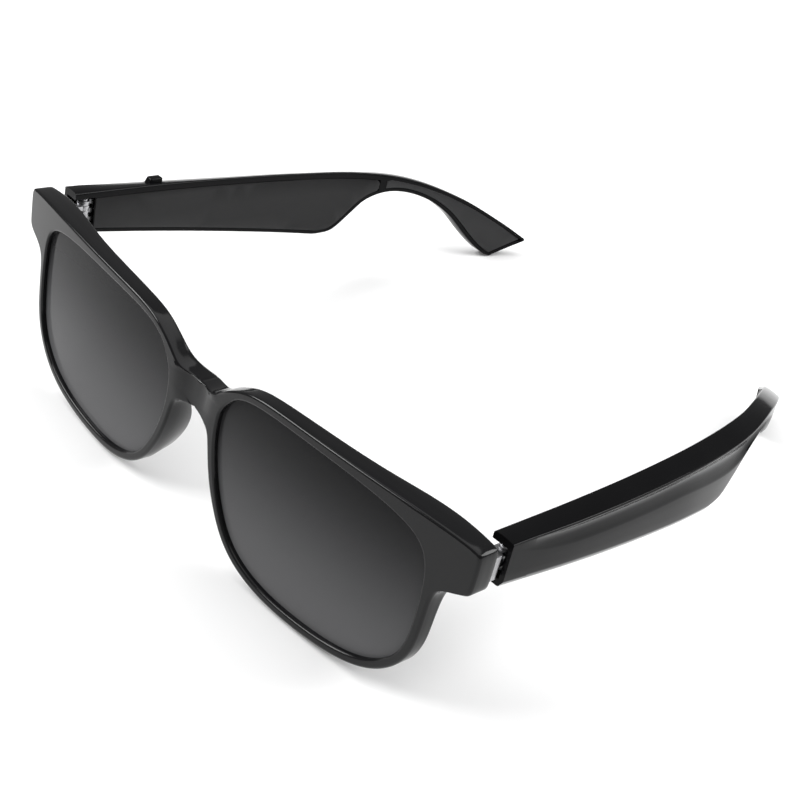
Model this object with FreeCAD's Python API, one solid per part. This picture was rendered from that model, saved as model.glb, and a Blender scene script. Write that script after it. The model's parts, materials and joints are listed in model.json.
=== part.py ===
import FreeCAD, Part
import math
import os

os.makedirs("parts", exist_ok=True)

V = FreeCAD.Vector
X = V(1, 0, 0)
Y = V(0, 1, 0)
Z = V(0, 0, 1)

# Audio sunglasses, all sizes in millimetres. Everything is first modelled as worn, in the front's own
# frame: X across with the wearer's left at +X, Y back from the front face, Z up from the front's top
# edge. stand() then tips the open glasses back on to their rims and temple tips, at their resting place.

# Front
front_width = 147.0
front_radius = 490.0  # of the wrap of the front face, about an upright axis
lens_width = 55.8
lens_height = 38.0
lens_gap = 16.8  # between the two lens openings
brow_height = 1.9  # from the top of a lens opening to the top edge
rim_width = 1.9
rim_depth = 4.0
lens_setback = 1.2  # from the front face to the face of the lens
lens_thickness = 1.8
groove_depth = 0.9
lens_play = 0.1
end_height = 9.8
end_depth = 4.5
bridge_top = 7.9  # below the front's top edge
bridge_height = 5.8
bridge_setback = 1.5
pad_reach = 4.6  # how far a nose pad stands back from its rim

# Hinge
hinge_inset = 3.3  # from the side of the front to the pin's axis
hinge_back = 6.7  # from the end piece's rear face to the pin's axis
hinge_top = 3.1  # below the front's top edge
knuckle_height = 1.1
knuckle_count = 5
knuckle_gap = 0.06
knuckle_radius = 1.5
pin_radius = 0.6
pin_clearance = 0.03
head_radius = 1.05
head_height = 0.45
leaf_thickness = 1.1
leaf_length = 8.5
leaf_screw_radius = 0.5
leaf_screw_head = 0.85
leaf_screw_pitch = 3.0
leaf_screw_bite = 0.65  # of a screw into the temple's wall
leaf_fit = 0.05  # between the temple leaf and the wall
seat_depth = 2.6  # of the front leaf in the end piece
leaf_clearance = 0.45  # from the front leaf to the temple's front face
pocket_clearance = 0.35  # around the hinge in the temple

# Temple
end_gap = 3.7  # between the end piece and the temple's front face
body_length = 73.0  # from the temple's front face to its deepest point
hook_length = 59.5  # from the deepest point to the tip
temple_thickness = 4.7
temple_top = 0.8  # below the front's top edge
front_height = 9.6
deep_height = 18.2
wall = 1.2
cover_thickness = 1.0
seam = 0.15  # parting line around each cover
ledge = 0.8  # that a cover's edge rests on
edge_round = 0.7
cover_top = 1.7  # from the temple's top edge to the inner cover
cover_low = 1.1  # from the temple's lower edge to the inner cover
tip_inset = 1.1  # from the temple's edges to the tip cover
rest_fold = 2.0  # degrees by which the left temple lies closed
cover_corner = 1.2

# Inside a temple
board_length = 19.5
board_height = 4.9
board_thickness = 0.8
chip_height = 0.9
microphone_width = 2.6
microphone_hole = 0.4
battery_length = 24.5
battery_height = 7.8
battery_thickness = 2.1
speaker_length = 11.5
speaker_height = 5.8
speaker_thickness = 2.2
part_gap = 1.3  # between neighbours along the temple
part_play = 0.4  # above and below a part in the hollow
slot_width = 1.9  # of the sound port
slot_margin = 1.2  # from the port to the temple's edge
slot_length = 12.8
mesh_thickness = 0.4
mesh_depth = 0.35  # of the mesh below the outer side
contact_radius = 0.5
contact_pitch = 2.1
contact_length = 1.6
contact_rise = 0.2  # beyond the pad's face
pad_length = 4.4
pad_width = 2.0
pad_rise = 0.3
pad_depth = 1.2  # of the pad in the temple's edge
pad_station = 38.7  # from the temple's front face to the contact pad's middle

# Button on the right temple
button_length = 5.2
button_width = 2.4
button_rise = 1.1
button_ramp = 1.7  # length of the slope at its front end
button_offset = 0.3  # outwards from the middle of the temple
button_travel = 0.5
button_play = 0.1
button_station = 22.5  # from the temple's front face to the button's middle
button_sink = 1.1  # of the cap below the temple's top
stem_width = 1.1
switch_height = 1.5
switch_length = 3.6
switch_thickness = 1.4

half_width = front_width / 2
end_rear = half_width ** 2 / (2 * front_radius) + end_depth
temple_front = end_rear + end_gap
pin_x = half_width - hinge_inset
pin_y = end_rear + hinge_back
deep_y = temple_front + body_length
tip_y = deep_y + hook_length
hinge_height = knuckle_count * knuckle_height
hinge_low = hinge_top + hinge_height
seat_x0 = pin_x - knuckle_radius + 0.2
seat_x1 = half_width - 0.9
leaf_outer = half_width - wall - leaf_fit
leaf_inner = leaf_outer - leaf_thickness
cover_first = pin_y + 2.6
cover_last = deep_y + 0.27 * hook_length
tip_first = deep_y + 0.305 * hook_length
cover_near = temple_thickness - cover_thickness
hollow_top = temple_top + cover_top + ledge + 1.7
board_top = hollow_top + part_play
board_low = board_top + board_height
board_near = wall + board_thickness
board_y = pin_y + leaf_length + part_gap
battery_y = board_y + board_length + part_gap
speaker_y = deep_y - 0.5 - speaker_length
microphone_y = board_y + 3.0
pad_y = temple_front + pad_station


def spline(points, closed=False):
    curve = Part.BSplineCurve()
    curve.interpolate(Points=points, PeriodicFlag=closed)
    return curve


def face(edges):
    return Part.Face(Part.Wire(Part.__sortEdges__(edges)))


def lines(points):
    return Part.makePolygon(points + [points[0]])


def block(x0, x1, y0, y1, z0, z1):
    return Part.makeBox(x1 - x0, y1 - y0, z1 - z0, V(x0, y0, z0))


def upright(x, y, z, radius, height):
    return Part.makeCylinder(radius, height, V(x, y, z), Z)


def mirrored(shape):
    return shape.mirror(V(0, 0, 0), X)


def middle_of(edge):
    return edge.valueAt((edge.FirstParameter + edge.LastParameter) / 2)


# ---- Front ----

def lens_curve(offset):
    """Closed outline of one lens opening, moved outwards by offset, in the plane Y = 0."""
    left = lens_gap / 2
    top = -brow_height
    shape = [(0.08, -0.07), (0.21, -0.018), (0.56, 0.0), (0.83, -0.023), (0.93, -0.07), (0.984, -0.17),
             (1.0, -0.43), (0.993, -0.60), (0.92, -0.81), (0.78, -0.95), (0.475, -1.0), (0.24, -0.95),
             (0.12, -0.83), (0.037, -0.61), (0.0, -0.33), (0.027, -0.15)]
    base = spline([V(left + u * lens_width, 0, top + v * lens_height) for u, v in shape], True)
    if offset == 0:
        return base
    count = 40
    moved = []
    for i in range(count):
        t = base.FirstParameter + (base.LastParameter - base.FirstParameter) * i / count
        along = base.tangent(t)[0]
        moved.append(base.value(t) + V(-along.z, 0, along.x) * offset)
    return spline(moved, True)


def lens_face(offset):
    return face([lens_curve(offset).toShape()])


def through(outline):
    """A front-view outline as a bar along Y, right through the front."""
    outline = outline.copy()
    outline.translate(V(0, -5, 0))
    return outline.extrude(V(0, 40, 0))


def wrap_slab(near, far):
    """The wrapped sheet between two depths behind the front face."""
    low = -60.0
    outer = Part.makeCylinder(front_radius - near, 80, V(0, front_radius, low), Z)
    inner = Part.makeCylinder(front_radius - far, 80, V(0, front_radius, low), Z)
    return outer.common(block(-90, 90, -5, 40, low, 20)).cut(inner)


def upper_outline():
    """Front view of the plate that runs from beside the bridge, over the lens, to the end piece."""
    left = lens_gap / 2
    corner = half_width - left
    rim = lens_width + rim_width
    low = -end_height
    top = -bridge_top
    over = [(-3.6, top - 1.6), (-3.3, top + 0.4), (-2.2, top + 2.0), (0.1, top + 2.9), (2.6, top + 4.2),
            (5.1, top + 5.8), (8.6, -0.7), (13.1, -0.1), (0.35 * corner, 0.25), (0.58 * corner, 0.5),
            (0.86 * corner, 0.65), (corner, 0)]
    side = [(corner + 0.4, low + 0.4), (rim + 2.6, low - 0.7), (rim + 0.4, low - 2.4), (rim - 0.4, low - 6.0)]
    nasal = [(-1.3, top - 11.6), (-2.4, top - 7.4), (-3.5, top - 3.9)]
    over, side, nasal = [[V(left + x, 0, z) for x, z in run] for run in (over, side, nasal)]
    inside = [V(left + lens_width - 6, 0, low - 3), V(left + 8, 0, top - 8)]
    return face([
        spline(over).toShape(),
        Part.makeLine(over[-1], side[0]),
        spline(side).toShape(),
        Part.makeLine(side[-1], inside[0]),
        Part.makeLine(inside[0], inside[1]),
        Part.makeLine(inside[1], nasal[0]),
        spline(nasal).toShape(),
        Part.makeLine(nasal[-1], over[0]),
    ])


def end_block():
    """Thicker outer part of the front, which carries the hinge."""
    left = lens_gap / 2
    side = half_width + 3
    rear = [(0.30, rim_depth - 0.4), (0.60, rim_depth + 0.3), (0.74, rim_depth + 0.8), (0.88, rim_depth + 1.6)]
    rear = [V(left + u * lens_width, (left + u * lens_width) ** 2 / (2 * front_radius) + depth, -60)
            for u, depth in rear]
    rear.append(V(left + lens_width + rim_width - 1.0, end_rear, -60))
    front = V(side, rear[0].y, -60)
    plan = face([
        spline(rear).toShape(),
        Part.makeLine(rear[-1], V(side, end_rear, -60)),
        Part.makeLine(V(side, end_rear, -60), front),
        Part.makeLine(front, rear[0]),
    ]).extrude(V(0, 0, 80))
    outside = Part.makeCylinder(front_radius, 80, V(0, front_radius, -60), Z)
    return through(upper_outline()).common(plan).common(outside)


def bridge():
    """Bar between the two rims, its front face leaning back towards its top edge."""
    reach = lens_gap / 2 - 0.8
    top = -bridge_top
    low = top - bridge_height
    section = lines([V(-reach, bridge_setback, top), V(-reach, rim_depth + 1.6, top + 0.5),
                     V(-reach, rim_depth + 1.9, low - 0.6), V(-reach, 0.4, low + 1.0)])
    bar = Part.Face(section).extrude(V(2 * reach, 0, 0))
    return bar.makeFillet(0.5, [e for e in bar.Edges if abs(e.tangentAt(e.FirstParameter).x) > 0.99])


def nose_pad():
    """Fin behind the nasal side of a rim, moulded in one with it."""
    low = -brow_height - 0.97 * lens_height
    high = -bridge_top - bridge_height + 0.4
    middle = (low + high) / 2
    start = rim_depth - 0.6
    steep = start + 0.72 * pad_reach
    profile = face([
        spline([V(-10, start, high), V(-10, steep, (high + middle) / 2 + 1.5), V(-10, start + pad_reach, middle),
                V(-10, steep, (low + middle) / 2 - 1.5), V(-10, start, low)]).toShape(),
        Part.makeLine(V(-10, start, low), V(-10, start, high)),
    ]).extrude(V(lens_gap / 2 + 0.3 * lens_width + 10, 0, 0))
    return through(lens_face(rim_width)).common(profile)


def front_half():
    outline = lens_face(rim_width).fuse(upper_outline()).removeSplitter()
    plate = through(outline).common(wrap_slab(0, rim_depth))
    half = plate.fuse([end_block(), nose_pad()])
    groove = through(lens_face(groove_depth)).common(wrap_slab(lens_setback, lens_setback + lens_thickness))
    return half.cut([through(lens_face(0)), groove, hinge_seat()])


def front_frame():
    half = front_half()
    return half.fuse([mirrored(half), bridge()])


def lens():
    plate = through(lens_face(groove_depth - lens_play))
    return plate.common(wrap_slab(lens_setback, lens_setback + lens_thickness))


# ---- Hinge ----

def knuckle(index, gap):
    z = -hinge_top - (index + 1) * knuckle_height + gap / 2
    return upright(pin_x, pin_y, z, knuckle_radius, knuckle_height - gap)


def knuckle_arm(index, x0, x1, y0, y1):
    z = -hinge_top - (index + 1) * knuckle_height + knuckle_gap / 2
    return block(x0, x1, y0, y1, z, z + knuckle_height - knuckle_gap)


def pin_bore(radius):
    return upright(pin_x, pin_y, -hinge_top - hinge_height - 1, radius, hinge_height + 2)


def hinge_seat():
    """Blind slot in the rear face of the end piece."""
    return block(seat_x0, seat_x1, end_rear - seat_depth, end_rear + 5, -hinge_low + 0.2, -hinge_top - 0.2)


def hinge_front_leaf():
    rear_y = temple_front - leaf_clearance
    slab = block(seat_x0, seat_x1, end_rear - seat_depth, rear_y, -hinge_low + 0.2, -hinge_top - 0.2)
    rear = [e for e in slab.Edges if middle_of(e).x > seat_x1 - 0.01 and abs(middle_of(e).y - rear_y) < 0.01]
    slab = slab.makeFillet(0.9, rear)
    pieces = []
    for i in range(1, knuckle_count, 2):
        pieces.append(knuckle(i, knuckle_gap))
        pieces.append(knuckle_arm(i, seat_x0, pin_x + 1.1, temple_front - 1.2, pin_y))
    return slab.fuse(pieces).cut(pin_bore(pin_radius)).removeSplitter()


def leaf_screw_places():
    z = -hinge_top - hinge_height / 2
    return [V(0, pin_y + 4.0, z), V(0, pin_y + 4.0 + leaf_screw_pitch, z)]


def hinge_temple_leaf():
    z1 = -hinge_top
    z0 = z1 - hinge_height
    plate = block(leaf_inner, leaf_outer, pin_y + 1.0, pin_y + leaf_length, z0, z1)
    pieces = []
    for i in range(0, knuckle_count, 2):
        pieces.append(knuckle(i, knuckle_gap))
        pieces.append(knuckle_arm(i, pin_x - 0.4, leaf_outer, pin_y, pin_y + 2.4))
    leaf = plate.fuse(pieces).cut(pin_bore(pin_radius + pin_clearance))
    for i in range(1, knuckle_count, 2):
        z = -hinge_top - (i + 1) * knuckle_height
        swept = upright(pin_x, pin_y, z - knuckle_gap / 2, knuckle_radius + 0.3, knuckle_height + knuckle_gap)
        leaf = leaf.cut(swept)
    for p in leaf_screw_places():
        leaf = leaf.cut(Part.makeCylinder(leaf_screw_radius, 6, V(leaf_inner - 3, p.y, p.z), X))
    return leaf.removeSplitter()


def hinge_screw():
    top = -hinge_top + knuckle_gap / 2
    shank = upright(pin_x, pin_y, top - hinge_height, pin_radius, hinge_height)
    head = upright(pin_x, pin_y, top, head_radius, head_height)
    slot = block(pin_x - 2, pin_x + 2, pin_y - 0.12, pin_y + 0.12, top + head_height - 0.2, top + 2)
    return shank.fuse(head).cut(slot).removeSplitter()


def leaf_screws():
    screws = []
    for p in leaf_screw_places():
        length = leaf_thickness + leaf_fit + leaf_screw_bite
        shank = Part.makeCylinder(leaf_screw_radius, length, V(leaf_inner, p.y, p.z), X)
        head = Part.makeCylinder(leaf_screw_head, 0.5, V(leaf_inner - 0.5, p.y, p.z), X)
        screws.append(head.fuse(shank).removeSplitter())
    return Part.makeCompound(screws)


# ---- Temple ----

def side_points(name):
    """Points of the temple's side view, (station along Y, height), shared by the shell and its covers."""
    top = -temple_top
    deep = top - deep_height
    hook = hook_length
    if name == "top":
        return [(temple_front, top), (temple_front + 0.3 * body_length, top - 0.5),
                (temple_front + 0.6 * body_length, top - 1.2), (deep_y - 8, top - 1.9),
                (deep_y + 0.18 * hook, top - 2.7), (deep_y + 0.44 * hook, top - 4.8),
                (deep_y + 0.68 * hook, top - 9.6), (deep_y + 0.88 * hook, top - 15.8), (tip_y, top - 20.2)]
    return [(deep_y - 1, deep - 1.6), (deep_y + 0.07 * hook, deep - 0.7), (deep_y + 0.14 * hook, deep + 3.0),
            (deep_y + 0.22 * hook, deep + 7.8), (deep_y + 0.34 * hook, deep + 10.2),
            (deep_y + 0.49 * hook, deep + 8.7), (deep_y + 0.62 * hook, deep + 4.2),
            (deep_y + 0.74 * hook, deep - 3.0), (deep_y + 0.80 * hook, deep - 6.2),
            (deep_y + 0.85 * hook, deep - 8.0)]


def plan_points(inset):
    """Outer side of the temple seen from above, moved inwards by inset."""
    x = half_width - inset
    hook = hook_length
    return [(temple_front - 0.3, x - 0.1), (temple_front + 0.3 * body_length, x + 0.2),
            (temple_front + 0.6 * body_length, x - 0.3), (deep_y - 8, x - 1.7), (deep_y + 0.18 * hook, x - 4.4),
            (deep_y + 0.44 * hook, x - 9.2), (deep_y + 0.68 * hook, x - 15.0),
            (deep_y + 0.88 * hook, x - 20.7), (tip_y + 2, x - 25.5)]


def side_face(x):
    top = [V(x, y, z) for y, z in side_points("top")]
    low = [V(x, y, z) for y, z in side_points("low")]
    heel = V(x, temple_front, -temple_top - front_height)
    return face([
        spline(top).toShape(),
        Part.makeLine(top[0], heel),
        Part.makeLine(heel, low[0]),
        spline(low).toShape(),
        Part.makeLine(low[-1], top[-1]),
    ])


def side_prism():
    return side_face(0).extrude(V(2 * half_width, 0, 0))


def plan_slab(near, far):
    """Sheet between two distances inside the temple's outer side, over its whole length and height."""
    outer = [V(x, y, -60) for y, x in plan_points(near)]
    inner = [V(x, y, -60) for y, x in plan_points(far)]
    return face([
        spline(outer).toShape(),
        spline(inner).toShape(),
        Part.makeLine(outer[0], inner[0]),
        Part.makeLine(outer[-1], inner[-1]),
    ]).extrude(V(0, 0, 80))


def temple_blank():
    """Solid temple with its long edges rounded."""
    blank = side_prism().common(plan_slab(0, temple_thickness))
    return blank.makeFillet(edge_round, [e for e in blank.Edges if e.Length > 20])


def offset_points(curve, distance, count):
    """Points along an open curve in the YZ plane, each moved to the curve's left by distance."""
    span = curve.LastParameter - curve.FirstParameter
    moved = []
    for i in range(count + 1):
        t = curve.FirstParameter + span * i / count
        along = curve.tangent(t)[0]
        moved.append(curve.value(t) + V(0, -along.z, along.y) * distance)
    return moved


def inset_prism(top, low):
    """The temple's side view as a bar along X, with its top edge lowered and its other edges moved in."""
    beyond = tip_y + 20
    over = [V(0, y, z - top) for y, z in side_points("top")]
    below = face([
        spline(over).toShape(),
        Part.makeLine(over[-1], V(0, over[-1].y, -90)),
        Part.makeLine(V(0, over[-1].y, -90), V(0, over[0].y, -90)),
        Part.makeLine(V(0, over[0].y, -90), over[0]),
    ]).extrude(V(2 * half_width, 0, 0))
    under = offset_points(spline([V(0, y, z) for y, z in side_points("low")]), low, 24)
    heel = V(0, temple_front, -temple_top - front_height + low)
    above = face([
        Part.makeLine(heel, under[0]),
        spline(under).toShape(),
        Part.makeLine(under[-1], V(0, beyond, under[-1].z)),
        Part.makeLine(V(0, beyond, under[-1].z), V(0, beyond, 30)),
        Part.makeLine(V(0, beyond, 30), V(0, heel.y, 30)),
        Part.makeLine(V(0, heel.y, 30), heel),
    ]).extrude(V(2 * half_width, 0, 0))
    foot, tip = [V(0, y, z) for y, z in (side_points("low")[-1], side_points("top")[-1])]
    along = (tip - foot).normalize()
    inward = V(0, -along.z, along.y)
    reach = 3 * (body_length + hook_length)
    foot = foot + inward * low - along * reach
    tip = tip + inward * low + along * reach
    before_end = Part.Face(lines([foot, tip, tip + inward * reach, foot + inward * reach]))
    return below.common(above).common(before_end.extrude(V(2 * half_width, 0, 0)))


def panel(top, low, first, last, near, far, end_round):
    """Part of the temple between two stations and two depths, inset from the side view's outline."""
    limits = block(0, 2 * half_width, first, last, -60, 20)
    limits = inset_prism(top, low).common(limits)
    ends = [e for e in limits.Edges
            if abs(e.tangentAt(e.FirstParameter).x) > 0.99 and abs(middle_of(e).y - last) < 0.01]
    if end_round > 0:
        limits = limits.makeFillet(end_round, ends)
    return limits.common(plan_slab(near, far))


def inner_cover(grow, far):
    return panel(cover_top - grow, cover_low - grow, cover_first - grow, cover_last + grow,
                 cover_near, far, cover_corner)


def tip_cover(grow, far):
    return panel(tip_inset - grow, tip_inset - grow, tip_first - grow, tip_y, cover_near, far, 0)


def cavity():
    """Hollow behind the inner cover."""
    last = deep_y + 0.10 * hook_length
    return panel(cover_top + ledge, cover_low + ledge, cover_first - 1.0, last, wall, cover_near + 0.1, 0)


def hinge_pocket():
    """Room for the hinge, open to the temple's front and inner sides."""
    top = -hinge_top + head_height + pocket_clearance
    low = -hinge_low - pocket_clearance
    front = block(pin_x - 8, half_width - wall, temple_front - 2, cover_first - 0.15, low, top)
    rear = block(half_width - temple_thickness + cover_thickness, half_width - wall,
                 cover_first - 0.5, pin_y + leaf_length + pocket_clearance, low, top)
    return front.fuse(rear)


def outer_x(y):
    """X of the temple's outer side at a station."""
    curve = spline([V(x, s, 0) for s, x in plan_points(0)])
    cut = curve.intersectCC(Part.Line(V(0, y, 0), V(200, y, 0)))[0]
    return cut.X


def sound_port(near, far):
    """Slot along the rear lower edge of the temple's deep part."""
    band = inset_prism(0, slot_margin).cut(inset_prism(0, slot_margin + slot_width))
    low = -temple_top - deep_height + 0.9
    first = deep_y + slot_margin
    limits = block(0, 2 * half_width, first, first + slot_length, low, low + 6.5)
    return band.common(limits).common(plan_slab(near, far))


def low_z(y):
    """Height of the temple's straight lower edge at a station."""
    heel = -temple_top - front_height
    end = side_points("low")[0]
    return heel + (end[1] - heel) * (y - temple_front) / (end[0] - temple_front)


def top_z(y):
    """Height of the temple's top edge at a station."""
    curve = spline([V(s, z, 0) for s, z in side_points("top")])
    return curve.intersectCC(Part.Line(V(y, 0, 0), V(y, 50, 0)))[0].Y


def fitted(y0, y1, z0, z1, near, far):
    """A slab that follows the temple's outer wall between two depths."""
    return block(0, 2 * half_width, y0, y1, z0, z1).common(plan_slab(near, far))


def circuit_board():
    board = fitted(board_y, board_y + board_length, -board_low, -board_top, wall, board_near)
    far = board_near + chip_height
    first = fitted(board_y + 10.5, board_y + 15.0, -board_low + 0.5, -board_low + 3.6, board_near, far)
    second = fitted(board_y + 5.5, board_y + 8.5, -board_low + 0.6, -board_low + 3.2, board_near, far)
    return board.fuse([first, second])


def microphone():
    half = microphone_width / 2
    return fitted(microphone_y - half, microphone_y + half, -board_low + 0.2, -board_low + 1.6,
                  board_near, board_near + 1.2)


def microphone_port():
    x = outer_x(microphone_y) - board_near - 0.6
    depth = cover_low + ledge + 1.5
    return upright(x, microphone_y, low_z(microphone_y) - 2, microphone_hole, 2 + depth)


def battery():
    top = -hollow_top - part_play / 2
    return fitted(battery_y, battery_y + battery_length, top - battery_height, top, wall, wall + battery_thickness)


def speaker():
    low = low_z(speaker_y) + cover_low + ledge + part_play
    return fitted(speaker_y, speaker_y + speaker_length, low, low + speaker_height, wall, wall + speaker_thickness)


def on_underside(shape):
    """Turns a shape drawn level at the contact pad on to the sloping lower edge."""
    low = low_z(pad_y)
    slope = math.degrees(math.atan2(low - low_z(pad_y + 1), 1))
    shape.rotate(V(0, pad_y, low), X, -slope)
    return shape


def pad_block(below, above):
    x = outer_x(pad_y) - temple_thickness / 2
    low = low_z(pad_y)
    return on_underside(block(x - pad_width / 2, x + pad_width / 2, pad_y - pad_length / 2,
                              pad_y + pad_length / 2, low - below, low + above))


def contact_pins():
    x = outer_x(pad_y) - temple_thickness / 2
    low = low_z(pad_y) - pad_rise - contact_rise
    return [on_underside(upright(x, pad_y + side * contact_pitch / 2, low, contact_radius, contact_length))
            for side in (-1, 1)]


def contact_pad():
    return pad_block(pad_rise, pad_depth).cut(contact_pins())


def button_place():
    y = temple_front + button_station
    return V(outer_x(y) - temple_thickness / 2 + button_offset, y, top_z(y))


def button_cap():
    p = button_place()
    front = p.y - button_length / 2
    rear = p.y + button_length / 2
    top = p.z + button_rise
    side = lines([V(p.x - button_width / 2, y, z) for y, z in (
        (front, p.z - button_sink), (front, p.z + 0.2), (front + button_ramp, top),
        (rear, top), (rear, p.z - button_sink))])
    cap = Part.Face(side).extrude(V(button_width, 0, 0))
    upper = [e for e in cap.Edges if middle_of(e).z > p.z + 0.3]
    cap = cap.makeFillet(0.35, upper)
    stem = block(p.x - stem_width / 2, p.x + stem_width / 2, p.y - stem_width / 2, p.y + stem_width / 2,
                 p.z - cover_top - ledge - 0.4, p.z - button_sink)
    return cap.fuse(stem).removeSplitter()


def button_well():
    p = button_place()
    half = V(button_width / 2 + button_play, button_length / 2 + button_play, 0)
    floor = p.z - button_sink - button_travel - 0.1
    well = block(p.x - half.x, p.x + half.x, p.y - half.y, p.y + half.y, floor, p.z + 3)
    reach = stem_width / 2 + button_play
    shaft = block(p.x - reach, p.x + reach, p.y - reach, p.y + reach, p.z - cover_top - ledge - 1.5, p.z)
    return well.fuse(shaft)


def button_switch():
    p = button_place()
    top = p.z - cover_top - ledge - 0.4 - button_travel - 0.05
    return fitted(p.y - switch_length / 2, p.y + switch_length / 2, top - switch_height, top,
                  board_near, board_near + switch_thickness)


def temple_shell():
    through_cover = temple_thickness + 1
    cuts = [inner_cover(seam, through_cover), tip_cover(seam, through_cover), cavity(), hinge_pocket(),
            sound_port(-1, wall + 0.6), microphone_port(), pad_block(3, pad_depth)]
    for p in leaf_screw_places():
        length = leaf_thickness + leaf_fit + leaf_screw_bite
        cuts.append(Part.makeCylinder(leaf_screw_radius, length, V(leaf_inner, p.y, p.z), X))
    shell = temple_blank()
    for tool in cuts:
        shell = shell.cut(tool)
    return shell


# ---- Whole ----

def lowest(points, tilt):
    return min(-y * math.sin(tilt) + z * math.cos(tilt) for y, z in points)


def standing_tilt():
    """Angle that brings the temple tips down to the level of the rims."""
    curve = spline([V(y, z, 0) for y, z in side_points("low")])
    span = curve.LastParameter - curve.FirstParameter
    tips = [curve.value(curve.FirstParameter + span * i / 200) for i in range(201)]
    tips = [(p.x, p.y) for p in tips]
    rim_x = lens_gap / 2 + 0.475 * lens_width
    rim_low = -brow_height - lens_height - rim_width
    rim = [(rim_x ** 2 / (2 * front_radius) + rim_depth, rim_low)]
    low = 0.0
    high = 0.5
    while high - low > 1e-6:
        tilt = (low + high) / 2
        if lowest(tips, tilt) > lowest(rim, tilt):
            low = tilt
        else:
            high = tilt
    return low


def build():
    left = {
        "lens": lens(),
        "hinge_front_leaf": hinge_front_leaf(),
        "hinge_screw": hinge_screw(),
        "hinge_temple_leaf": hinge_temple_leaf(),
        "leaf_screws": leaf_screws(),
        "temple_shell": temple_shell(),
        "inner_cover": inner_cover(0, temple_thickness),
        "tip_cover": tip_cover(0, temple_thickness),
        "circuit_board": circuit_board(),
        "microphone": microphone(),
        "battery": battery(),
        "speaker": speaker(),
        "speaker_mesh": sound_port(mesh_depth, mesh_depth + mesh_thickness),
        "contact_pad": contact_pad(),
        "contact_pins": Part.makeCompound(contact_pins()),
    }
    nodes = {"front_frame": front_frame()}
    for name, shape in left.items():
        nodes["left_" + name] = shape
        nodes["right_" + name] = mirrored(shape)
    nodes["right_temple_shell"] = nodes["right_temple_shell"].cut(mirrored(button_well()))
    nodes["button"] = mirrored(button_cap())
    nodes["button_switch"] = mirrored(button_switch())
    fixed = ("lens", "hinge_front_leaf", "hinge_screw")
    for name in left:
        if name not in fixed:
            nodes["left_" + name].rotate(V(pin_x, pin_y, 0), Z, rest_fold)
    return nodes


def stand(nodes):
    """Tips the glasses back on to rims and temple tips, and centres them over the origin."""
    tilt = math.degrees(standing_tilt())
    for shape in nodes.values():
        shape.rotate(V(0, 0, 0), X, -tilt)
    outer = ("front_frame", "left_temple_shell", "right_temple_shell")
    boxes = [nodes[name].optimalBoundingBox(False, False) for name in outer]
    low = min(box.ZMin for box in boxes)
    middle = (min(box.YMin for box in boxes) + max(box.YMax for box in boxes)) / 2
    for shape in nodes.values():
        shape.translate(V(0, -middle, -low))


nodes = build()
stand(nodes)
for name, shape in nodes.items():
    shape.exportStep("parts/" + name + ".step")
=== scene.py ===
import json
import math

import bmesh
import bpy
from mathutils import Matrix, Vector


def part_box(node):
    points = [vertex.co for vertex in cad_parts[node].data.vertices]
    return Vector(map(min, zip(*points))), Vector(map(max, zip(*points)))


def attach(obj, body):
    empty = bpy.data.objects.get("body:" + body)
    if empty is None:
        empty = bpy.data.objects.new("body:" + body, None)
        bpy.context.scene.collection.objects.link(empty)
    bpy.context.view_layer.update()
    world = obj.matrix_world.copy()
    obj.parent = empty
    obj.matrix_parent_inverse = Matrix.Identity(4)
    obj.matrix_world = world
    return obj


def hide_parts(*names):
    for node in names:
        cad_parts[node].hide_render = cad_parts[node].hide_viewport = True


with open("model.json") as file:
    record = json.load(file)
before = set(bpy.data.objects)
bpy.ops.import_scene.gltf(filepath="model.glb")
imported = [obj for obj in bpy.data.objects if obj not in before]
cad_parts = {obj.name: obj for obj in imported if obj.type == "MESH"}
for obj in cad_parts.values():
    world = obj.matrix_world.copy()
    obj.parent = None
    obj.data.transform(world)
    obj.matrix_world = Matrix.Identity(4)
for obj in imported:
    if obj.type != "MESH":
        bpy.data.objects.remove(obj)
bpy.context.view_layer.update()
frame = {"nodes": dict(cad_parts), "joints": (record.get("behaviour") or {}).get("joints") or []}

nodes = frame["nodes"]

# ---- Front frame ----
# One injection moulding in glossy black plastic: two rims, the bridge, the nose fins behind the rims
# and the two end pieces that take the hinges. Each spoke runs from the lens opening to the outline.

# Pieces are drawn as worn, in millimetres, with Y back from the front face and Z up from its top edge,
# and are then laid down about the left hinge's pin. The left temple lies a little closed.
PIN = Vector((70.2, 16.712, -5.85))
fold_joint = [j for j in frame["joints"] if j["name"] == "left_temple_fold"][0]
pin_up = Vector(fold_joint["axis"]).normalized()
pin_back = pin_up.cross(Vector((1, 0, 0)))
LAID = Matrix((
    (1, pin_back.x, pin_up.x, 0),
    (0, pin_back.y, pin_up.y, 0),
    (0, pin_back.z, pin_up.z, 0),
    (0, 0, 0, 1)))
LAID = Matrix.Translation(fold_joint["pos_m"]) @ LAID @ Matrix.Scale(0.001, 4) @ Matrix.Translation(-PIN)
LEFT_FOLD = math.radians(-fold_joint["range_deg"][0])
LEFT_CLOSED = Matrix.Translation(PIN) @ Matrix.Rotation(LEFT_FOLD, 4, "Z") @ Matrix.Translation(-PIN)
MIRROR = Matrix.Scale(-1, 4, (1, 0, 0))


def deselect_all():
    if bpy.context.object and bpy.context.object.mode != "OBJECT":
        bpy.ops.object.mode_set(mode="OBJECT")
    bpy.ops.object.select_all(action="DESELECT")


def pick(piece):
    deselect_all()
    piece.select_set(True)
    bpy.context.view_layer.objects.active = piece


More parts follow.
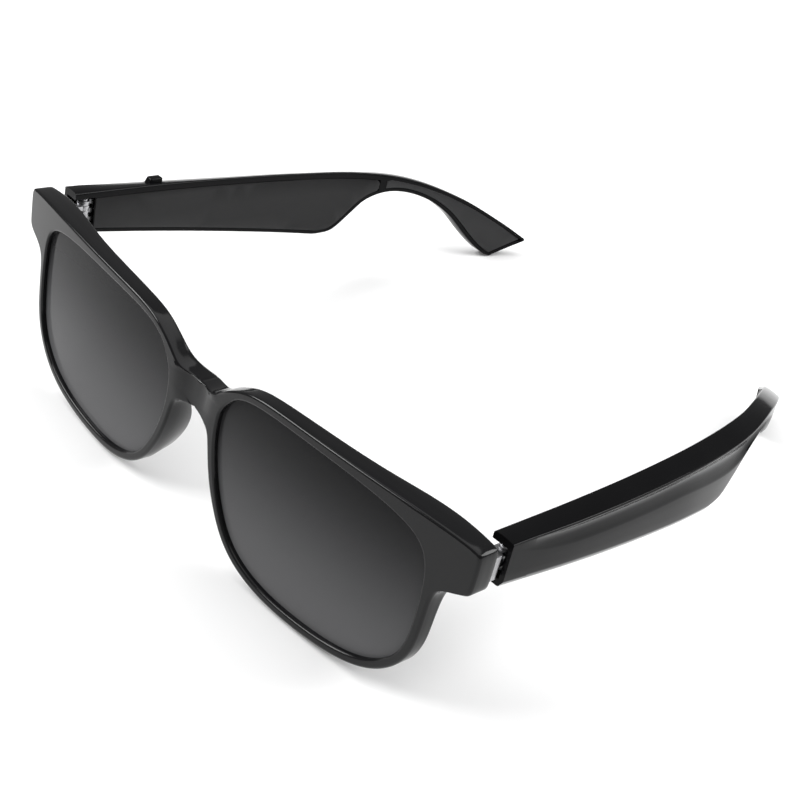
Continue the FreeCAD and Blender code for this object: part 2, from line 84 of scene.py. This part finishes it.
def smooth_path(points, steps):
    """Rows of numbers on a smooth closed curve through the given rows, without overshoot."""
    def slope(before, after):
        return 2 * before * after / (before + after) if before * after > 0 else 0.0

    rows = []
    count = len(points)
    for i in range(count):
        four = [points[(i + k) % count] for k in (-1, 0, 1, 2)]
        for s in range(steps):
            t = s / steps
            row = []
            for a, b, c, d in zip(*four):
                m0, m1 = slope(b - a, c - b), slope(c - b, d - c)
                row.append((2 * t ** 3 - 3 * t * t + 1) * b + (t ** 3 - 2 * t * t + t) * m0
                           + (3 * t * t - 2 * t ** 3) * c + (t ** 3 - t * t) * m1)
            rows.append(row)
    return rows


def rolled(name, rings, close_ends):
    """A tube from a grid: each ring of points is one row, and its last point meets its first."""
    deselect_all()
    across = len(rings[0])
    rows = len(rings) if close_ends != "ring" else len(rings) + 1
    bpy.ops.mesh.primitive_grid_add(x_subdivisions=across, y_subdivisions=rows - 1, size=1)
    piece = bpy.context.object
    piece.name = name
    piece.data.name = name
    for j in range(rows):
        ring = rings[j % len(rings)]
        for i in range(across + 1):
            piece.data.vertices[j * (across + 1) + i].co = ring[i % across]
    bpy.ops.object.mode_set(mode="EDIT")
    bpy.ops.mesh.select_all(action="SELECT")
    bpy.ops.mesh.remove_doubles(threshold=0.004)
    bpy.ops.mesh.dissolve_degenerate(threshold=0.004)
    if close_ends == "caps":
        bpy.ops.mesh.select_all(action="DESELECT")
        bpy.ops.mesh.select_non_manifold(extend=False, use_wire=False, use_boundary=True,
                                         use_multi_face=False, use_non_contiguous=False, use_verts=False)
        bpy.ops.mesh.fill_holes(sides=0)
    bpy.ops.mesh.select_all(action="SELECT")
    bpy.ops.mesh.normals_make_consistent(inside=False)
    bpy.ops.object.mode_set(mode="OBJECT")
    return piece


def lay(piece, *moves):
    """Puts a finished mesh in its place on the table, its object left at the origin."""
    place = LAID
    for move in moves:
        place = place @ move
    piece.data.transform(place)
    if place.determinant() < 0:
        piece.data.flip_normals()
    piece.matrix_world = Matrix.Identity(4)
    piece.data.update()


def cut(piece, tool):
    """Takes the tool's solid out of a piece."""
    pick(piece)
    knife = piece.modifiers.new("cut", "BOOLEAN")
    knife.operation = "DIFFERENCE"
    knife.solver = "EXACT"
    knife.object = tool
    bpy.ops.object.modifier_apply(modifier="cut")
    bpy.data.objects.remove(tool)


def box(x0, x1, y0, y1, z0, z1):
    """A plain block as worn."""
    deselect_all()
    bpy.ops.mesh.primitive_cube_add(size=1)
    piece = bpy.context.object
    piece.data.transform(Matrix.Translation(((x0 + x1) / 2, (y0 + y1) / 2, (z0 + z1) / 2))
                         @ Matrix.Diagonal((x1 - x0, y1 - y0, z1 - z0, 1)))
    return piece


RADIUS = 490.0  # of the front's wrap
SETBACK = 1.2  # of the lens behind the front face
LENS = 1.8
GROOVE = 0.9
# opening x, z; outline x, z; depth at the opening, depth at the outline; fin; set back of the bridge
SPOKES = [
    (8.45, -16.5, 6.35, -17.4, 4.6, 5.4, 0.35, 0.0), (8.4, -14.2, 5.5, -15.2, 4.2, 4.8, 0.1, 0.1),
    (8.45, -12.4, 3.4, -14.1, 4.0, 5.2, 0.0, 0.4), (8.6, -11.0, 0.0, -13.6, 4.0, 6.0, 0.0, 0.8),
    (8.8, -9.9, 0.0, -10.8, 4.0, 6.0, 0.0, 1.1), (9.3, -8.7, 0.0, -7.9, 4.0, 6.0, 0.0, 1.4),
    (9.9, -7.6, 3.4, -7.65, 4.0, 5.4, 0.0, 1.2), (10.7, -6.6, 6.0, -6.8, 4.0, 4.6, 0.0, 0.8),
    (11.5, -5.7, 7.9, -5.5, 4.0, 4.1, 0.0, 0.4), (12.4, -4.8, 9.6, -4.1, 4.0, 3.8, 0.0, 0.0),
    (14.2, -3.7, 12.4, -2.6, 4.0, 3.8, 0.0, 0.0), (16.2, -3.0, 15.2, -1.3, 4.0, 3.8, 0.0, 0.0),
    (20.0, -2.3, 19.6, -0.4, 4.0, 3.8, 0.0, 0.0), (25.5, -2.0, 25.5, 0.0, 4.0, 3.9, 0.0, 0.0),
    (33.0, -1.9, 33.0, 0.2, 4.0, 4.1, 0.0, 0.0), (41.0, -1.9, 41.0, 0.35, 4.0, 4.3, 0.0, 0.0),
    (49.0, -2.2, 50.0, 0.5, 4.0, 4.8, 0.0, 0.0), (54.5, -2.8, 57.5, 0.6, 4.2, 5.7, 0.0, 0.0),
    (58.0, -3.6, 64.0, 0.55, 4.6, 5.8, 0.0, 0.0), (60.2, -4.5, 69.5, 0.3, 5.0, 5.05, 0.0, 0.0),
    (61.4, -5.4, 72.6, 0.0, 5.2, 4.6, 0.0, 0.0), (62.2, -6.2, 73.55, -0.5, 5.2, 4.5, 0.0, 0.0),
    (62.8, -7.2, 73.8, -1.7, 5.2, 4.45, 0.0, 0.0), (63.3, -8.4, 73.7, -7.8, 5.2, 4.45, 0.0, 0.0),
    (63.6, -9.4, 73.4, -9.0, 5.2, 4.5, 0.0, 0.0), (63.85, -10.8, 72.3, -9.7, 5.0, 4.6, 0.0, 0.0),
    (64.0, -12.2, 69.6, -10.6, 4.6, 5.0, 0.0, 0.0), (64.1, -13.6, 67.4, -11.8, 4.2, 5.0, 0.0, 0.0),
    (64.2, -15.4, 66.35, -14.2, 4.0, 4.2, 0.0, 0.0), (64.25, -18.2, 66.15, -18.1, 3.8, 3.6, 0.0, 0.0),
    (64.0, -24.5, 65.9, -24.7, 3.6, 3.4, 0.0, 0.0), (62.8, -29.2, 64.5, -30.0, 3.6, 3.4, 0.0, 0.0),
    (60.0, -33.0, 61.4, -34.3, 3.6, 3.4, 0.0, 0.0), (56.5, -35.7, 57.6, -37.3, 3.6, 3.4, 0.0, 0.0),
    (52.0, -37.7, 52.7, -39.5, 3.6, 3.4, 0.0, 0.0), (45.0, -39.2, 45.2, -41.1, 3.6, 3.4, 0.0, 0.0),
    (35.0, -39.85, 34.9, -41.75, 3.6, 3.4, 0.0, 0.0), (28.0, -39.5, 27.6, -41.4, 3.6, 3.5, 0.0, 0.0),
    (22.0, -38.1, 21.1, -39.8, 3.8, 3.9, 0.1, 0.0), (18.0, -36.0, 16.8, -37.5, 4.4, 5.2, 0.45, 0.0),
    (15.0, -33.2, 13.4, -34.3, 5.6, 7.4, 0.85, 0.0), (12.5, -29.3, 10.7, -30.0, 6.4, 8.6, 1.0, 0.0),
    (10.5, -25.0, 8.5, -25.5, 6.4, 8.6, 1.0, 0.0), (9.2, -20.5, 7.1, -20.9, 5.6, 7.4, 0.8, 0.0),
]
SPOKE_STEPS = 6
EASING_PASSES = 20
MIDLINE = 0.02  # how near the middle plane counts as on it
SEAT_X = (68.9, 72.6)  # of the slot that takes the front leaf
SEAT_Y = (7.41, 14.0)
SEAT_Z = (-8.4, -3.3)
SMOOTH_ANGLE = math.radians(38)


def front_ring(ix, iz, ox, oz, deep_in, deep_out, fin, back):
    """One section through the front, from its outline round to the lens opening and back."""
    reach = Vector((ox - ix, 0, oz - iz))
    width = reach.length
    reach.normalize()

    def at(share, depth):
        p = Vector((ix, 0, iz)) + reach * (width * share)
        wrap = p.x ** 2 / (2 * RADIUS)
        blend = min(max((6.6 - p.x) / 5.0, 0.0), 1.0)
        blend = blend * blend * (3 - 2 * blend)
        return Vector((p.x, wrap + (depth if depth else back * blend), p.z))

    near, far = 0.62 / width, 1 - 0.78 / width
    ring = [at(1, 0)]
    ring += [at(far + (near - far) * i / 5, 0) for i in range(6)]
    groove = GROOVE / width
    lens_back = SETBACK + LENS
    ring += [at(0, 0), at(0, SETBACK), at(groove, SETBACK), at(groove, lens_back), at(0, lens_back)]
    rear_in = at(-0.25 * fin, deep_in)
    rear_out = at(1 - 0.62 * fin, deep_out)
    ring.append(rear_in)
    ring += [rear_in.lerp(rear_out, share) for share in (0.33, 0.67)]
    ring += [rear_out, at(1, 3.2), at(1, 1.9)]
    return ring


OUTLINE, LIP, REAR_INNER, REAR_OUTER = 0, 7, 12, 15  # corner points of a section
rows = smooth_path(SPOKES, SPOKE_STEPS)
for _ in range(EASING_PASSES):
    eased = []
    for i, row in enumerate(rows):
        before, after = rows[i - 1], rows[(i + 1) % len(rows)]
        hold = min(max((row[2] - 0.4) / 2.0, 0.0), 1.0)
        eased.append([b + hold * (0.25 * a + 0.25 * c - 0.5 * b) for a, b, c in zip(before, row, after)])
    rows = eased
rings = [front_ring(*row) for row in rows]
front = rolled("front_moulding", rings, "ring")
corners = {}
for name, column in (("outline", OUTLINE), ("lip", LIP), ("rear_inner", REAR_INNER),
                     ("rear_outer", REAR_OUTER)):
    corners[name] = [ring[column] for ring in rings
                     if not (ring[column].x < MIDLINE and column in (OUTLINE, REAR_OUTER)
                             and -13.5 < ring[column].z < -8.0)]
for name, places in corners.items():
    group = front.vertex_groups.new(name=name)
    group.add([v.index for v in front.data.vertices
               if any((v.co - place).length < 0.006 for place in places)], 1.0, "REPLACE")
pick(front)
bpy.ops.object.mode_set(mode="EDIT")
mesh = bmesh.from_edit_mesh(front.data)
for face in mesh.faces:
    face.select_set(all(abs(v.co.x) < MIDLINE for v in face.verts))
bmesh.update_edit_mesh(front.data)
bpy.ops.mesh.delete(type="FACE")
bpy.ops.object.mode_set(mode="OBJECT")
for v in front.data.vertices:
    if v.co.x < MIDLINE:
        v.co.x = 0
twin = front.modifiers.new("twin", "MIRROR")
twin.merge_threshold = 0.01
bpy.ops.object.modifier_apply(modifier="twin")
for name, width, segments in (("outline", 0.6, 4), ("rear_outer", 0.4, 3), ("rear_inner", 0.3, 3),
                              ("lip", 0.5, 3)):
    edge = front.modifiers.new(name, "BEVEL")
    edge.limit_method = "VGROUP"
    edge.vertex_group = name
    edge.width = width
    edge.segments = segments
    edge.use_clamp_overlap = False
    bpy.ops.object.modifier_apply(modifier=name)
front.vertex_groups.clear()
for side in (1, -1):
    x = sorted(side * edge for edge in SEAT_X)
    cut(front, box(*x, *SEAT_Y, *SEAT_Z))
lay(front)
pick(front)
bpy.ops.object.shade_smooth_by_angle(angle=SMOOTH_ANGLE)
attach(front, "front")
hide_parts("front_frame")


def finish(name, colour, roughness, spread, grain, grain_size, metal=0.0, shine=0.5):
    """A finish with an uneven gloss from soft noise and a fine moulded or brushed grain."""
    made = bpy.data.materials.new(name)
    made.use_nodes = True
    tree = made.node_tree
    shader = tree.nodes["Principled BSDF"]
    shader.inputs["Metallic"].default_value = metal
    shader.inputs["Specular IOR Level"].default_value = shine
    where = tree.nodes.new("ShaderNodeTexCoord")
    haze = tree.nodes.new("ShaderNodeTexNoise")
    haze.inputs["Scale"].default_value = 90
    haze.inputs["Detail"].default_value = 4
    tree.links.new(where.outputs["Object"], haze.inputs["Vector"])
    gloss = tree.nodes.new("ShaderNodeMapRange")
    gloss.inputs["From Min"].default_value = 0.3
    gloss.inputs["From Max"].default_value = 0.7
    gloss.inputs["To Min"].default_value = roughness - spread
    gloss.inputs["To Max"].default_value = roughness + spread
    tree.links.new(haze.outputs["Fac"], gloss.inputs["Value"])
    tree.links.new(gloss.outputs["Result"], shader.inputs["Roughness"])
    tint = tree.nodes.new("ShaderNodeMix")
    tint.data_type = "RGBA"
    tint.inputs["A"].default_value = (*[c * 0.85 for c in colour], 1)
    tint.inputs["B"].default_value = (*[c * 1.15 for c in colour], 1)
    tree.links.new(haze.outputs["Fac"], tint.inputs["Factor"])
    tree.links.new(tint.outputs["Result"], shader.inputs["Base Color"])
    speck = tree.nodes.new("ShaderNodeTexNoise")
    speck.inputs["Scale"].default_value = grain_size
    speck.inputs["Detail"].default_value = 2
    tree.links.new(where.outputs["Object"], speck.inputs["Vector"])
    bump = tree.nodes.new("ShaderNodeBump")
    bump.inputs["Strength"].default_value = grain
    bump.inputs["Distance"].default_value = 0.00002
    tree.links.new(speck.outputs["Fac"], bump.inputs["Height"])
    tree.links.new(bump.outputs["Normal"], shader.inputs["Normal"])
    return made


def dress(piece, material):
    piece.data.materials.clear()
    piece.data.materials.append(material)


gloss_black = finish("gloss_black", (0.006, 0.006, 0.0065), 0.12, 0.02, 0.03, 2500, shine=0.22)
dress(front, gloss_black)

# ---- Lenses ----
# Two tinted sheets that snap into the rims' grooves, dark grey with a hard coat on both faces.
# Their colour pales towards the cheek as painted light: the white floor's glow through the lower lens is
# painted in.

tinted = bpy.data.materials.new("tinted_lens_painted_floor_light")
tinted.use_nodes = True
tree = tinted.node_tree
shader = tree.nodes["Principled BSDF"]
shader.inputs["Roughness"].default_value = 0.1
shader.inputs["Specular IOR Level"].default_value = 0.05
where = tree.nodes.new("ShaderNodeTexCoord")
height = tree.nodes.new("ShaderNodeSeparateXYZ")
tree.links.new(where.outputs["Object"], height.inputs["Vector"])
fade = tree.nodes.new("ShaderNodeMapRange")
fade.interpolation_type = "SMOOTHSTEP"
fade.inputs["From Min"].default_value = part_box("left_lens")[0][2]
fade.inputs["From Max"].default_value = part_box("left_lens")[1][2]
fade.inputs["To Min"].default_value = 1
fade.inputs["To Max"].default_value = 0
tree.links.new(height.outputs["Z"], fade.inputs["Value"])
# Painted light: the base colour runs from near black at the top to paler grey at the bottom, standing in
# for the white floor's light seen through the lower lens.
tint_and_painted_floor_light = tree.nodes.new("ShaderNodeValToRGB")
tint_and_painted_floor_light.color_ramp.elements[0].color = (0.012, 0.012, 0.0125, 1)
tint_and_painted_floor_light.color_ramp.elements[1].color = (0.115, 0.115, 0.118, 1)
tree.links.new(fade.outputs["Result"], tint_and_painted_floor_light.inputs["Fac"])
tree.links.new(tint_and_painted_floor_light.outputs["Color"], shader.inputs["Base Color"])
clear = tree.nodes.new("ShaderNodeMapRange")
clear.inputs["To Min"].default_value = 0.985
clear.inputs["To Max"].default_value = 0.96
tree.links.new(fade.outputs["Result"], clear.inputs["Value"])
tree.links.new(clear.outputs["Result"], shader.inputs["Alpha"])
for side in ("left", "right"):
    dress(nodes[side + "_lens"], tinted)

# ---- Hinges ----
# Five-knuckle hinges stamped and turned in polished steel, each with a slotted screw as its pin and
# two small screws that hold its rear leaf to the temple.

steel = finish("polished_steel", (0.42, 0.42, 0.43), 0.34, 0.05, 0.0, 3000, metal=1.0)


def ease(piece, width, segments=2):
    """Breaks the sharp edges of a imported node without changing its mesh."""
    weld = piece.modifiers.new("weld", "WELD")
    weld.merge_threshold = 0.000003
    edge = piece.modifiers.new("edge", "BEVEL")
    edge.width = width
    edge.segments = segments
    edge.limit_method = "ANGLE"
    edge.angle_limit = math.radians(40)
    edge.harden_normals = True


for side in ("left", "right"):
    for part, width in (("hinge_front_leaf", 0.00012), ("hinge_temple_leaf", 0.00006),
                        ("hinge_screw", 0.00004), ("leaf_screws", 0.00005)):
        dress(nodes[side + "_" + part], steel)
        ease(nodes[side + "_" + part], width)

# ---- Temple shells ----
# Each temple's outer shell is one glossy moulding: a crowned top, a long flute down the outer side,
# a bevelled strip along the bottom, a pod over the speaker, and a hook behind the ear. It is hollow
# behind the inner cover, with a pocket at the front for the hinge and a port outlined low at the rear.

THICK = 4.7
WALL = 1.2
COVER = 1.0
SEAM = 0.15
LEDGE = 0.8
START = 13.71
TIP = 146.21
COVER_TOP = 1.7  # from the top edge to the inner cover
COVER_LOW = 1.1  # from the lower edge to either cover, and from the top edge to the tip's
TIP_FIRST = 105.0
HEEL = -10.4
TIP_LOW = -21.0
PORT_FIRST = 87.9
PORT_LENGTH = 12.8
PORT_ROWS = 12
PORT_BAND = (1.2, 3.1)  # above the lower edge
WELL = (70.55, 72.75, 33.95, 38.45, -3.1, 1.0)
HINGE_POCKET = (62.2, 72.3, 10.0, 19.01, -8.95, -2.3)
LEAF_POCKET = (69.8, 72.3, 18.7, 25.56, -8.95, -2.3)
# station, top edge, outer side
TOP_EDGE = [(13.71, -0.8, 73.4), (35.6, -1.3, 73.7), (57.5, -2.0, 73.2), (78.7, -2.7, 71.8),
            (97.4, -3.5, 69.1), (112.9, -5.6, 64.3), (127.2, -10.4, 58.5), (139.1, -16.6, 52.8),
            (146.2, -21.0, 48.8)]
LOW_EDGE = [(85.7, -20.6), (90.9, -19.7), (95.0, -16.0), (99.8, -11.2), (106.9, -8.8), (115.9, -10.3),
            (123.6, -14.8), (130.7, -22.0), (134.3, -25.2), (137.3, -27.0)]
# station, drop of the outer ridge below the top edge, flute height, flute depth
FLUTE = [(13.7, 0.0, 2.0, 0.0), (18.0, 0.1, 2.6, 0.03), (24.0, 0.5, 3.8, 0.35), (34.0, 1.0, 4.9, 0.6),
         (55.0, 1.6, 5.6, 0.75), (70.0, 1.8, 6.0, 0.9), (84.0, 1.9, 7.2, 1.05), (92.0, 1.8, 7.4, 1.1),
         (98.0, 1.5, 6.0, 1.0), (104.0, 1.0, 3.6, 0.6), (112.0, 0.6, 3.0, 0.25), (124.0, 0.4, 3.4, 0.05),
         (147.0, 0.2, 3.0, 0.0)]


def along(table, y, column):
    """Value on a smooth curve through a table's rows at a station."""
    count = len(table)
    i = 0
    while i < count - 2 and table[i + 1][0] < y:
        i += 1
    y0, y1 = table[i][0], table[i + 1][0]
    v0, v1 = table[i][column], table[i + 1][column]

    def slope(k):
        if k <= 0 or k >= count - 1:
            a, b = (0, 1) if k <= 0 else (count - 2, count - 1)
        else:
            a, b = k - 1, k + 1
        return (table[b][column] - table[a][column]) / (table[b][0] - table[a][0])

    h = y1 - y0
    t = min(max((y - y0) / h, 0.0), 1.0)
    m0, m1 = slope(i) * h, slope(i + 1) * h
    return ((2 * t ** 3 - 3 * t * t + 1) * v0 + (t ** 3 - 2 * t * t + t) * m0
            + (3 * t * t - 2 * t ** 3) * v1 + (t ** 3 - t * t) * m1)


def low_edge(y):
    if y < LOW_EDGE[0][0]:
        share = (y - START) / (LOW_EDGE[0][0] - START)
        return HEEL + share * (LOW_EDGE[0][1] - HEEL)
    if y > LOW_EDGE[-1][0]:
        share = (y - LOW_EDGE[-1][0]) / (TIP - LOW_EDGE[-1][0])
        return LOW_EDGE[-1][1] + share * (TIP_LOW - LOW_EDGE[-1][1])
    return along(LOW_EDGE, y, 1)


def slant(y):
    """How much longer an upright distance is where the lower edge slopes."""
    return math.hypot(1, (low_edge(y + 0.2) - low_edge(y - 0.2)) / 0.4)


def fillet(corner, before, after, radius, count=3):
    """Points of a rounded corner between two neighbours."""
    before = corner + (before - corner).normalized() * min(radius, 0.45 * (before - corner).length)
    after = corner + (after - corner).normalized() * min(radius, 0.45 * (after - corner).length)
    points = []
    for i in range(count + 1):
        t = i / count
        points.append(before.lerp(corner, t).lerp(corner.lerp(after, t), t))
    return points


def temple_ring(y, cover, hollow, collar):
    """One section through a temple, from its inner top edge over the outer side and back inside."""
    top = along(TOP_EDGE, y, 1)
    x = along(TOP_EDGE, y, 2)
    low = low_edge(y)
    steep = slant(y)
    height = top - low
    inner = x - THICK
    drop = min(along(FLUTE, y, 1), 0.3 * height)
    flute = min(along(FLUTE, y, 2), 0.62 * height)
    depth = max(along(FLUTE, y, 3), 0)
    strip = min(1.5 * min(steep, 1.5), 0.22 * height)
    step = 0.0 if collar else min(max((126 - y) / 10, 0.0), 1.0) * 0.16

    def p(across, z):
        return Vector((across, y, z))

    ridge = p(x, top - drop)
    foot = top - drop - flute
    face_top = p(x - step, foot)
    face_low = p(x - step, low + strip)
    bottom = p(x - 0.85, low)
    crown = p(inner, top + 0.15)
    ring = fillet(crown, p(inner, low), ridge, 0.6, 4)
    for share in (0.35, 0.65):
        ring.append(crown.lerp(ridge, share) + Vector((0, 0, 0.12)))
    ring += fillet(ridge, crown, p(x - 0.4 * depth, ridge.z - 0.25 * flute), 0.45, 5)
    for share, deep in ((0.2, 0.62), (0.4, 0.95), (0.58, 1.0), (0.76, 0.72), (0.9, 0.32)):
        ring.append(p(x - deep * depth - step * share, ridge.z - share * flute))
    ring += fillet(face_top, p(x - 0.4 * depth - step, foot + 0.15 * flute), face_low, 0.3)
    for share in (0.35, 0.7):
        ring.append(face_top.lerp(face_low, share))
    ring += fillet(face_low, face_top, bottom, 0.18, 2)
    ring += fillet(bottom, face_low, p(inner, low), 0.3, 2)
    ring += fillet(p(inner, low), bottom, crown, 0.35, 2)
    low_1 = low + (COVER_LOW - SEAM) * steep
    low_2 = low_1 + LEDGE * steep
    top_1 = top - ((COVER_LOW if y > TIP_FIRST else COVER_TOP) - SEAM)
    top_2 = top_1 - LEDGE
    middle = (top + low) / 2
    low_1, low_2 = min(low_1, middle - 0.2), min(low_2, middle - 0.1)
    top_1, top_2 = max(top_1, middle + 0.2), max(top_2, middle + 0.1)
    floor_1 = inner + (COVER if cover else 0)
    floor_2 = x - WALL if hollow else floor_1
    ring += [p(inner, low_1), p(floor_1, low_1), p(floor_1, low_2), p(floor_2, low_2),
             p(floor_2, top_2), p(floor_1, top_2), p(floor_1, top_1), p(inner, top_1)]
    return ring


COVER_ENDS = (19.16, 102.92)
HOLLOW_ENDS = (20.0, 92.7)
TIP_ENDS = (104.71, 145.0)
STATION_PITCH = 1.25
STATION_COUNT = 105
stations = [START + 0.02 + STATION_PITCH * i for i in range(STATION_COUNT)]
stations = [y for y in stations if y < TIP - 0.9]
rows = []
for y in stations:
    cover = COVER_ENDS[0] < y < COVER_ENDS[1] or TIP_ENDS[0] < y < TIP_ENDS[1]
    hollow = HOLLOW_ENDS[0] < y < HOLLOW_ENDS[1]
    rows.append((y, cover, hollow, y < HOLLOW_ENDS[0]))
SOLID, RECESSED, OPEN = (False, False), (True, False), (True, True)
for y, before, after in ((COVER_ENDS[0], SOLID, RECESSED), (HOLLOW_ENDS[0], RECESSED, OPEN),
                         (HOLLOW_ENDS[1], OPEN, RECESSED), (COVER_ENDS[1], RECESSED, SOLID),
                         (TIP_ENDS[0], SOLID, RECESSED), (TIP_ENDS[1], RECESSED, SOLID)):
    rows.append((y - 0.0001, *before, y <= HOLLOW_ENDS[0]))
    rows.append((y + 0.0001, *after, y < HOLLOW_ENDS[0]))
rows.append((TIP - 0.55, False, False, False))
rows.sort()
temple_rings = [temple_ring(*row) for row in rows]

# Painted shade: the same glossy black plastic as the front, made darker and far less reflective to stand
# in for the shade on the temples' sides.
shaded_gloss_black = finish("shaded_gloss_black", (0.004, 0.004, 0.0044), 0.12, 0.02, 0.03, 2500, shine=0.08)
for side, moves in (("left", [LEFT_CLOSED]), ("right", [MIRROR])):
    shell = rolled(side + "_temple_moulding", temple_rings, "caps")
    cut(shell, box(*HINGE_POCKET))
    cut(shell, box(*LEAF_POCKET))
    port = []
    for i in range(PORT_ROWS):
        y = PORT_FIRST + PORT_LENGTH * i / (PORT_ROWS - 1)
        x = along(TOP_EDGE, y, 2)
        low, high = (low_edge(y) + rise * slant(y) for rise in PORT_BAND)
        port.append([Vector((x - 1.6, y, low)), Vector((x + 0.8, y, low)),
                     Vector((x + 0.8, y, high)), Vector((x - 1.6, y, high))])
    cut(shell, rolled("port", port, "caps"))
    if side == "right":
        cut(shell, box(*WELL))
    lay(shell, *moves)
    pick(shell)
    bpy.ops.object.shade_smooth_by_angle(angle=math.radians(58))
    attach(shell, side + "_temple")
    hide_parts(side + "_temple_shell")
    dress(shell, shaded_gloss_black)

# ---- Inner covers and tips ----
# A flat satin black plate closes the hollow of each temple, and a softer dark grey pad lines the inner
# side of each hook. Both sit flush in a recess behind a narrow parting line.

satin_black = finish("satin_black", (0.008, 0.008, 0.0085), 0.38, 0.05, 0.25, 2600, shine=0.25)
soft_grey = finish("soft_grey", (0.020, 0.020, 0.021), 0.5, 0.05, 0.4, 2200, shine=0.3)
for side in ("left", "right"):
    dress(nodes[side + "_inner_cover"], satin_black)
    dress(nodes[side + "_tip_cover"], soft_grey)
    ease(nodes[side + "_inner_cover"], 0.00012)
    ease(nodes[side + "_tip_cover"], 0.00012)

# ---- Button ----
# A small loose cap of the same black plastic in a well in the right temple's top, with a sloped front
# end and softened edges. It is pushed straight down onto the switch below.

cap = box(70.65, 72.65, 34.05, 38.35, -2.45, -0.5)
cap.name = "button_cap"
pick(cap)
bpy.ops.object.mode_set(mode="EDIT")
mesh = bmesh.from_edit_mesh(cap.data)
for v in mesh.verts:
    v.select_set(v.co.z > -1.0 and v.co.y < 35.0)
mesh.select_flush(True)
bmesh.update_edit_mesh(cap.data)
bpy.ops.transform.translate(value=(0, 1.1, 0))
bpy.ops.mesh.select_all(action="SELECT")
bpy.ops.mesh.bevel(offset=0.28, segments=4, affect="EDGES")
bpy.ops.object.mode_set(mode="OBJECT")
lay(cap, MIRROR)
pick(cap)
bpy.ops.object.shade_smooth_by_angle(angle=math.radians(50))
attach(cap, "button")
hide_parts("button")
# The cap takes the temples' darker copy of the black, with its painted shade.
dress(cap, shaded_gloss_black)

# ---- Inside ----
# What the temples hold: a green circuit board, a foil pouch battery, a speaker behind a woven mesh, a
# microphone, the button's switch, and a pad with two gold plated charging contacts under each temple.

board = finish("green_board", (0.01, 0.09, 0.035), 0.35, 0.05, 0.2, 1500)
moulded = finish("moulded_part", (0.02, 0.02, 0.02), 0.5, 0.05, 0.3, 2000)
foil = finish("battery_foil", (0.6, 0.6, 0.62), 0.3, 0.08, 0.5, 700, metal=1.0)
gold = finish("contact_gold", (0.83, 0.6, 0.22), 0.22, 0.05, 0.1, 3000, metal=1.0)
mesh_steel = finish("dark_mesh", (0.09, 0.09, 0.095), 0.4, 0.05, 0.8, 1800, metal=0.8)
for side in ("left", "right"):
    dress(nodes[side + "_circuit_board"], board)
    dress(nodes[side + "_microphone"], moulded)
    dress(nodes[side + "_battery"], foil)
    dress(nodes[side + "_speaker"], moulded)
    dress(nodes[side + "_speaker_mesh"], mesh_steel)
    dress(nodes[side + "_contact_pad"], moulded)
    dress(nodes[side + "_contact_pins"], gold)
dress(nodes["button_switch"], moulded)

# ---- Studio ----
# White paper under a broad overhead soft box, with two softer strips that draw light along the rounded
# edges of the front and of the left temple. The camera looks down from the front left.

bpy.context.scene.view_settings.view_transform = "Standard"
deselect_all()
bpy.ops.mesh.primitive_plane_add(size=6, location=(0, 0, 0))
floor = bpy.context.object
floor.name = "floor"
paper = bpy.data.materials.new("paper")
paper.use_nodes = True
paper.node_tree.nodes["Principled BSDF"].inputs["Base Color"].default_value = (0.92, 0.92, 0.92, 1)
paper.node_tree.nodes["Principled BSDF"].inputs["Roughness"].default_value = 0.9
paper.node_tree.nodes["Principled BSDF"].inputs["Specular IOR Level"].default_value = 0.1
floor.data.materials.append(paper)
world = bpy.data.worlds.new("studio")
bpy.context.scene.world = world
world.use_nodes = True
world.node_tree.nodes["Background"].inputs["Color"].default_value = (1, 1, 1, 1)
world.node_tree.nodes["Background"].inputs["Strength"].default_value = 0.25
for name, place, size, power in (("key", (0.05, 0.12, 1.0), (1.3, 1.1), 6.5),
                                ("front_strip", (-0.52, -0.45, 0.585), (0.6, 0.3), 7),
                                ("side_strip", (0.45, 0.585, 0.47), (0.5, 0.45), 6)):
    lamp = bpy.data.lights.new(name, "AREA")
    lamp.shape = "RECTANGLE"
    lamp.size, lamp.size_y = size
    lamp.energy = power
    holder = bpy.data.objects.new(name, lamp)
    bpy.context.scene.collection.objects.link(holder)
    holder.location = place
    holder.rotation_euler = (-Vector(place)).to_track_quat("-Z", "Y").to_euler()

camera_data = bpy.data.cameras.new("camera")
camera_data.lens = 63.33
camera = bpy.data.objects.new("camera", camera_data)
bpy.context.scene.collection.objects.link(camera)
right = Vector((0.6497, 0.7510, 0.1177))
up = Vector((-0.4988, 0.3044, 0.8115))
back = right.cross(up)
camera.matrix_world = Matrix((
    (right.x, up.x, back.x, 0.18455),
    (right.y, up.y, back.y, -0.20150),
    (right.z, up.z, back.z, 0.19290),
    (0, 0, 0, 1)))
bpy.context.scene.camera = camera
